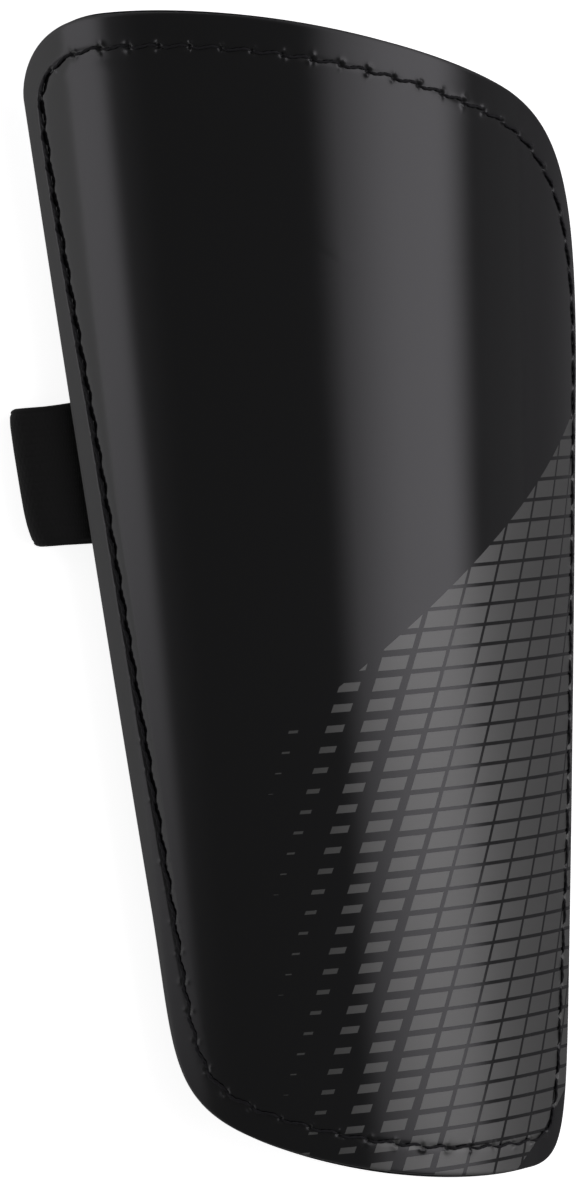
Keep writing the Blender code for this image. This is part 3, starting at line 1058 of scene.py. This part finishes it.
def make_elastic_material():
    """Matt black yarn, with the weave as fine relief."""
    material = new_material("elastic_black", ELASTIC_COLOUR, ELASTIC_ROUGHNESS)
    tree = material.node_tree
    tree.nodes["Principled BSDF"].inputs["Specular IOR Level"].default_value = MATT_SPECULAR
    place = read_uv(tree, "weave")
    weave = place_group(material, make_weave_group(), place, length=strap_length / MM)
    add_bump(material, weave.outputs["Height"], WEAVE_DEPTH, WEAVE_STRENGTH)
    return material


# %% The strap's profile
STRAP_COLUMNS = 34
# Each row: millimetres in from the edge, and the share of the full thickness there.
SELVEDGE = (
    (0.0, 0.30), (0.08, 0.62), (0.22, 0.86), (0.45, 1.0), (0.7, 0.97), (0.9, 0.80), (1.1, 0.84), (1.4, 0.97),
)


def strap_profile():
    """Places over the strap's width, with the share of its thickness there: full, with a corded selvedge."""
    near = [(distance * MM / STRAP_WIDTH, fullness) for distance, fullness in SELVEDGE]
    first = near[-1][0]
    middle = [(first + (1 - 2 * first) * step / STRAP_COLUMNS, 1.0) for step in range(1, STRAP_COLUMNS)]
    return near + middle + [(1 - place, fullness) for place, fullness in near[::-1]]


# %% Make the strap
def make_strap():
    """Sweeps the route over the strap's width, with an outer and an inner face, as one closed mesh."""
    vertices, faces, uvs = [], [], []
    profile = strap_profile()
    crest_x = BEND_SIZES["Crest X"]
    for place, fullness in profile:
        along = STRAP_MIDDLE_ALONG + (place - 0.5) * STRAP_WIDTH
        route = strap_route(along, from_table(LOOP_SHAPE, place))
        half = STRAP_THICKNESS / 2 * fullness
        travelled = 0.0
        outer, inner = [], []
        for index, point in enumerate(route):
            before, after = route[max(index - 1, 0)], route[min(index + 1, len(route) - 1)]
            run = (after - before).normalized()
            if index:
                travelled += (point - route[index - 1]).length
            flare = (from_table(FLARE, travelled / MM) - 1) * (place - 0.5) * STRAP_WIDTH
            for face, side in ((outer, half), (inner, -half)):
                face.append((
                    point.x + run.y * side + crest_x,
                    along + flare - GUARD_LENGTH / 2,
                    point.y - run.x * side,
                ))
            uvs.append((place * STRAP_WIDTH / strap_length, travelled / strap_length))
        vertices += outer + inner[::-1]
    row = len(middle_route)
    around = 2 * row
    for column in range(len(profile) - 1):
        for index in range(around):
            after = (index + 1) % around
            here, there = column * around, (column + 1) * around
            faces.append((here + index, there + index, there + after, here + after))
    for column in (0, len(profile) - 1):
        for index in range(row - 1):
            corners = [index, index + 1, around - index - 2, around - index - 1]
            corners = [column * around + corner for corner in corners]
            faces.append(corners if column == 0 else corners[::-1])
    mesh = bpy.data.meshes.new("elastic_strap")
    mesh.from_pydata(vertices, [], faces)
    uv = mesh.uv_layers.new(name="weave")
    for loop in mesh.loops:
        column, index = divmod(loop.vertex_index, around)
        index = index if index < row else around - 1 - index
        uv.data[loop.index].uv = uvs[column * row + index]
    mesh.materials.append(elastic_black)
    mesh.shade_smooth()
    return add_piece("elastic_strap", mesh)


elastic_black = make_elastic_material()
strap = make_strap()
strap.visible_glossy = False
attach(strap, "root")
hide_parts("strap")
print("strap:", len(strap.data.vertices), "vertices,", round(strap_length / MM, 1), "mm long when flat")

# %% [markdown]
# The thread
#
# The seam is a lockstitch: one thread on each face, twisted from two plies, which sinks into every needle
# hole and hooks round the other thread there.  A plain tube along the seam would look right from afar, but
# has no twist, slant or gap.  So a Geometry Nodes tree moves the points of the seam's own line by rules, for
# the arch between two holes, the dip, the slant and the turn of each ply, and then gives it a round section.
#
# The tree runs twice, on the shell and, turned over, on the lining, where it steps over the strap.  Down the
# left side, at the foot of the step, the plies lie flatter and fill the groove, so they are thicker there.

# %% Sizes of the thread
THREAD_SIZES = {
    "Stitch Count": stitch_count,
    "Points Per Stitch": 14,
    "Pitch": pitch,
    "Thread Radius": 0.20 * MM,
    "Ply Offset": 0.09 * MM,
    "Twists Per Stitch": 2.0,
    "Left Fullness": 0.75,
    "Left Start": 14 * MM,
    "Left End": 30 * MM,
    "Taper Start": GUARD_LENGTH - 8 * MM,
    "Taper End": GUARD_LENGTH - 30 * MM,
    "Slant": 0.24 * MM,
    "Lift": 0.12 * MM,
    "Dip": 0.9 * MM,
    "Dip Width": 0.6 * MM,
    "Base": 0.0,
    "Facing": 1.0,
    "Strap Middle": STRAP_MIDDLE_ALONG,
    "Strap Reach": STRAP_WIDTH / 2 + 1.0 * MM,
    "Strap Step": 0.0,
}
SIDES_OF_THREAD = 6

# %% Helpers for the thread
def fullness_at(tree, place, size):
    """1 on the right and at both ends, and more down the left side."""
    leftwards = calculate(tree, "MULTIPLY", place["X"], -1.0)
    on_left = soft_step(tree, leftwards, size["Left Start"], size["Left End"])
    below_corner = soft_step(tree, place["Y"], size["Taper Start"], size["Taper End"])
    on_left = calculate(tree, "MULTIPLY", on_left, below_corner)
    return calculate(tree, "MULTIPLY_ADD", on_left, size["Left Fullness"], 1.0)


def round_section(tree, line, offset, fullness, thread_radius):
    """Moves the points of a line, and makes a round tube along it."""
    thickness = tree.nodes.new("GeometryNodeSetCurveRadius")
    tree.links.new(line, thickness.inputs["Curve"])
    tree.links.new(fullness, thickness.inputs["Radius"])
    move = tree.nodes.new("GeometryNodeSetPosition")
    tree.links.new(thickness.outputs[0], move.inputs["Geometry"])
    tree.links.new(offset, move.inputs["Offset"])
    circle = tree.nodes.new("GeometryNodeCurvePrimitiveCircle")
    circle.inputs["Resolution"].default_value = SIDES_OF_THREAD
    tree.links.new(thread_radius, circle.inputs["Radius"])
    tube = tree.nodes.new("GeometryNodeCurveToMesh")
    tree.links.new(move.outputs[0], tube.inputs["Curve"])
    tree.links.new(circle.outputs[0], tube.inputs["Profile Curve"])
    return tube.outputs[0]


# %% Thread tree
def make_thread_tree():
    """Two plies along the seam's line, with the arch, the dip and the slant of every stitch."""
    tree, source, target = new_geometry_tree("lockstitch", THREAD_SIZES)
    maths = partial(calculate, tree)
    size = source.outputs
    total = maths("MULTIPLY", size["Stitch Count"], size["Points Per Stitch"])
    resample = tree.nodes.new("GeometryNodeResampleCurve")
    tree.links.new(size["Geometry"], resample.inputs["Curve"])
    tree.links.new(total, resample.inputs["Count"])
    index = tree.nodes.new("GeometryNodeInputIndex").outputs[0]
    phase = maths("DIVIDE", index, size["Points Per Stitch"])
    part = maths("FRACT", phase)
    to_hole = maths("MINIMUM", part, maths("SUBTRACT", 1.0, part))
    from_hole = maths("MULTIPLY", to_hole, size["Pitch"])
    nearness = maths("DIVIDE", from_hole, size["Dip Width"])
    fall = maths("MULTIPLY", maths("POWER", nearness, 2.0), -1.0)
    fall = maths("EXPONENT", fall)
    place = split_vector(tree, tree.nodes.new("GeometryNodeInputPosition").outputs[0])
    fullness = fullness_at(tree, place, size)
    dip = maths("DIVIDE", size["Dip"], fullness)
    height = maths("SUBTRACT", size["Lift"], maths("MULTIPLY", fall, dip))
    from_strap = maths("ABSOLUTE", maths("SUBTRACT", place["Y"], size["Strap Middle"]))
    on_strap = maths("LESS_THAN", from_strap, size["Strap Reach"])
    height = maths("MULTIPLY_ADD", on_strap, size["Strap Step"], height)
    wave = maths("SINE", maths("MULTIPLY", part, math.tau))
    slant = maths("MULTIPLY", wave, size["Slant"])
    turn = maths("MULTIPLY", maths("MULTIPLY", phase, size["Twists Per Stitch"]), math.tau)
    run = split_vector(tree, tree.nodes.new("GeometryNodeInputTangent").outputs[0])
    join = tree.nodes.new("GeometryNodeJoinGeometry")
    ply_offset = maths("MULTIPLY", size["Ply Offset"], fullness)
    for ply_turn in (math.pi, 0.0):
        angle = maths("ADD", turn, ply_turn)
        swing = maths("MULTIPLY_ADD", maths("COSINE", angle), ply_offset, slant)
        lift = maths("MULTIPLY", maths("SINE", angle), size["Ply Offset"])
        raised = maths("MULTIPLY", maths("ADD", height, lift), size["Facing"])
        move_x = maths("MULTIPLY", run["Y"], swing)
        move_y = maths("MULTIPLY", run["X"], maths("MULTIPLY", swing, -1.0))
        offset = join_vector(tree, move_x, move_y, maths("ADD", raised, size["Base"]))
        ply = round_section(tree, resample.outputs["Curve"], offset, fullness, size["Thread Radius"])
        tree.links.new(ply, join.inputs[0])
    end_tree(tree, target, join.outputs[0], thread_black)
    return tree


# %% Make the threads
def seam_path(name):
    """The seam on the flat blank, as a closed curve that the tree can follow."""
    curve = bpy.data.curves.new(name, "CURVE")
    curve.dimensions = "3D"
    spline = curve.splines.new("POLY")
    spline.points.add(len(seam) - 1)
    for target_point, point in zip(spline.points, seam):
        target_point.co = (point.x, point.y, 0.0, 1.0)
    spline.use_cyclic_u = True
    return add_piece(name, curve)


thread_tree = make_thread_tree()
shell_thread = run_tree(seam_path("shell_thread"), thread_tree)
lining_thread = run_tree(
    seam_path("lining_thread"), thread_tree, base=-WALL_THICKNESS + CHANNEL_DEPTH, facing=-1.0,
    strap_step=CHANNEL_DEPTH + STRAP_CLEARANCE + STRAP_THICKNESS,
)
for thread in (shell_thread, lining_thread):
    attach(thread, "root")

# %% [markdown]
# The camera
#
# The picture was taken from above the guard's left side, with the camera a little rolled.  The two angles,
# the distance, and how many pixels a metre takes are named here, and the lens is worked out from them, so
# the picture keeps its scale when the camera is moved nearer or farther.  The camera looks at the place that
# puts the guard's crest on its own spot in the frame.

# %% Camera
PHOTO_WIDTH, PHOTO_HEIGHT = 588, 1188
YAW, ROLL = math.radians(23.44), math.radians(5.17)
CAMERA_DISTANCE = 1.2
PIXELS_PER_METRE = 5420.0
PHOTO_CENTRE = Vector((323.69, 600.51))
LOOKED_AT_HEIGHT = 15 * MM
SENSOR_HEIGHT = 36.0
CAMERA_SEES = 20.0

turn = Matrix.Rotation(-ROLL, 3, "Z")
towards = turn @ Vector((-math.sin(YAW), 0.0, math.cos(YAW)))
rightwards = turn @ Vector((math.cos(YAW), 0.0, math.sin(YAW)))
upwards = turn @ Vector((0.0, 1.0, 0.0))
target = Vector((BEND_SIZES["Crest X"], 0.0, LOOKED_AT_HEIGHT))
target += rightwards * (PHOTO_WIDTH / 2 - PHOTO_CENTRE.x) / PIXELS_PER_METRE
target += upwards * (PHOTO_CENTRE.y - PHOTO_HEIGHT / 2) / PIXELS_PER_METRE

camera_data = bpy.data.cameras.new("photo_camera")
camera_data.sensor_fit = "VERTICAL"
camera_data.sensor_height = SENSOR_HEIGHT
camera_data.lens = SENSOR_HEIGHT * CAMERA_DISTANCE * PIXELS_PER_METRE / PHOTO_HEIGHT
camera_data.clip_end = CAMERA_SEES
camera = add_piece("photo_camera", camera_data)
axes = Matrix((rightwards, upwards, towards)).transposed().to_4x4()
camera.matrix_world = Matrix.Translation(target + towards * CAMERA_DISTANCE) @ axes
bpy.context.scene.camera = camera
print("lens", round(camera_data.lens, 1), "mm")

# %% [markdown]
# The floor
#
# The photograph shows the guard on pure white.  A white floor that is only lit would need so much light that
# the black plastic turned grey, so the floor here is partly a light itself, for the camera's rays and, less
# brightly, for mirrored ones, and it keeps a faint shadow where the guard stands.  Light Path tells the
# camera's and the mirrored rays from all others.

# %% Helpers for the stage
FLOOR_SIZE = 8.0
FLOOR_PAINT = (0.86, 0.86, 0.86, 1.0)
FLOOR_GLOW = 0.88
GLOSS_GLOW_SHARE = 0.72


def mix_into(output, tree, share, first, second):
    """Mixes two shaders by a share, as the surface of an output node."""
    choice = tree.nodes.new("ShaderNodeMixShader")
    for value, socket in zip((share, first.outputs[0], second.outputs[0]), choice.inputs):
        tree.links.new(value, socket)
    tree.links.new(choice.outputs[0], output.inputs["Surface"])


def make_floor_material():
    """White paint that also glows, for the camera's rays and, less brightly, for mirrored ones."""
    material = bpy.data.materials.new("pale_floor")
    material.use_nodes = True
    tree = material.node_tree
    tree.nodes.clear()
    paint = tree.nodes.new("ShaderNodeBsdfDiffuse")
    paint.inputs["Color"].default_value = FLOOR_PAINT
    glow = tree.nodes.new("ShaderNodeEmission")
    glow.inputs["Strength"].default_value = FLOOR_GLOW
    both = tree.nodes.new("ShaderNodeAddShader")
    tree.links.new(paint.outputs[0], both.inputs[0])
    tree.links.new(glow.outputs[0], both.inputs[1])
    rays = tree.nodes.new("ShaderNodeLightPath").outputs
    seen = calculate(tree, "MULTIPLY_ADD", rays["Is Glossy Ray"], GLOSS_GLOW_SHARE, rays["Is Camera Ray"])
    mix_into(tree.nodes.new("ShaderNodeOutputMaterial"), tree, seen, paint, both)
    return material


def flat_card(name, low_x, high_x, low_y, high_y, height, material):
    """A level rectangle with one material, in the scene."""
    corners = [(low_x, low_y), (high_x, low_y), (high_x, high_y), (low_x, high_y)]
    mesh = bpy.data.meshes.new(name)
    mesh.from_pydata([(x, y, height) for x, y in corners], [], [(0, 1, 2, 3)])
    mesh.materials.append(material)
    card = add_piece(name, mesh)
    return card


# %% Make the floor
reach = FLOOR_SIZE / 2
flat_card("floor", -reach, reach, -reach, reach, 0.0, make_floor_material())
print("floor", FLOOR_SIZE, "m wide")

# %% [markdown]
# The lights
#
# What makes black plastic look glossy is what it mirrors.  The photograph shows two long soft lights: a wide
# one on the right that starts softly and ends in a sharp edge, and a narrower one low on the left that dies
# out towards the ankle.  Each is one area lamp with a feathered front, set by how far up each edge mirrors.
# A weak spill beside the left lamp softens its inner edge, and a faint reflector stands low on the right.
# A dark card lies beyond the right foot, because the last strip of the shell there mirrors something dark.

# %% A lamp with a feathered front
LAMP_COLOUR = (1.0, 0.972, 1.03)


def add_softbox(name, low_angle, high_angle, distance, low_y, high_y, radiance, feathers):
    """An area lamp between two angles, measured from straight up towards +X, and between two places along Y.
    Feathers are (direction, dark, bright), as shares of the front: U up the angle, V towards the knee."""
    middle = math.radians((low_angle + high_angle) / 2)
    width = 2 * distance * math.tan(math.radians(high_angle - low_angle) / 2)
    length = high_y - low_y
    light = bpy.data.lights.new(name, "AREA")
    light.shape = "RECTANGLE"
    light.size, light.size_y = width, length
    light.energy = radiance * math.pi * width * length
    light.color = LAMP_COLOUR
    light.use_nodes = True
    tree = light.node_tree
    front = split_vector(tree, tree.nodes.new("ShaderNodeNewGeometry").outputs["Parametric"])
    strength = 1.0
    for direction, dark, bright in feathers:
        step = soft_step(tree, front["X" if direction == "U" else "Y"], dark, bright)
        strength = calculate(tree, "MULTIPLY", step, strength)
    tree.links.new(strength, tree.nodes["Emission"].inputs["Strength"])
    lamp = add_piece(name, light)
    back = Vector((math.sin(middle), 0.0, math.cos(middle)))
    across = Vector((math.cos(middle), 0.0, -math.sin(middle)))
    axes = Matrix((across, Vector((0.0, 1.0, 0.0)), back)).transposed().to_4x4()
    place = back * distance + Vector((0.0, (low_y + high_y) / 2, 0.0))
    lamp.matrix_world = Matrix.Translation(place) @ axes
    return lamp


# %% Make the lights
LAMP_DISTANCE = 1.0
LEFT_REACH, RIGHT_REACH = (-0.45, 1.1), (-0.75, 1.0)
# Each row: name, lowest and highest angle, its reach along Y, radiance, feathers.
LAMPS = (
    ("right_softbox", 9, 69, RIGHT_REACH, 1.75, [("U", 0.0, 0.57), ("U", 1.0, 0.74), ("V", 0.0, 0.35)]),
    ("left_softbox", -92, -69, LEFT_REACH, 1.43, [("U", 1.0, 0.6), ("V", 0.0, 0.3)]),
    ("left_spill", -76, -54, LEFT_REACH, 0.17, [("U", 1.0, 0.0), ("V", 0.0, 0.3)]),
    ("right_reflector", 66, 90, RIGHT_REACH, 0.09, [("U", 0.0, 0.3)]),
)
for lamp_name, low_angle, high_angle, y_reach, radiance, feathers in LAMPS:
    lamp = add_softbox(lamp_name, low_angle, high_angle, LAMP_DISTANCE, *y_reach, radiance, feathers)
    print(lamp_name, round(lamp.data.energy, 3), "W")

# %% The dark card
CARD_INNER_X, CARD_OUTER_X, CARD_REACH = 0.045, 3.9, 0.9
CARD_HEIGHT = 0.5 * MM
card_grey = new_material("card_grey", (0.3, 0.3, 0.3), 0.9)
dark_card = flat_card(
    "dark_card", CARD_INNER_X, CARD_OUTER_X, -CARD_REACH, CARD_REACH, CARD_HEIGHT, card_grey
)
dark_card.visible_camera = False
dark_card.visible_diffuse = False
dark_card.visible_shadow = False

# %% [markdown]
# The room
#
# Where the plastic mirrors no lamp it shows the room, which has to stay dim to keep it black.  The camera's
# own rays must still see white beyond the floor, so the world has two backgrounds, chosen by Light Path.

# %% World
WORLD_LIGHT = 0.14


def make_world():
    """A dim room for every ray but the camera's, which sees white behind the floor."""
    world = bpy.data.worlds.new("studio")
    world.use_nodes = True
    tree = world.node_tree
    room = tree.nodes["Background"]
    room.inputs["Color"].default_value = (WORLD_LIGHT, WORLD_LIGHT, WORLD_LIGHT, 1.0)
    white = tree.nodes.new("ShaderNodeBackground")
    white.inputs["Color"].default_value = (1.0, 1.0, 1.0, 1.0)
    camera_rays = tree.nodes.new("ShaderNodeLightPath").outputs["Is Camera Ray"]
    mix_into(tree.nodes["World Output"], tree, camera_rays, room, white)
    return world


bpy.context.scene.world = make_world()
bpy.context.scene.view_settings.view_transform = "Standard"
print("room light", WORLD_LIGHT)
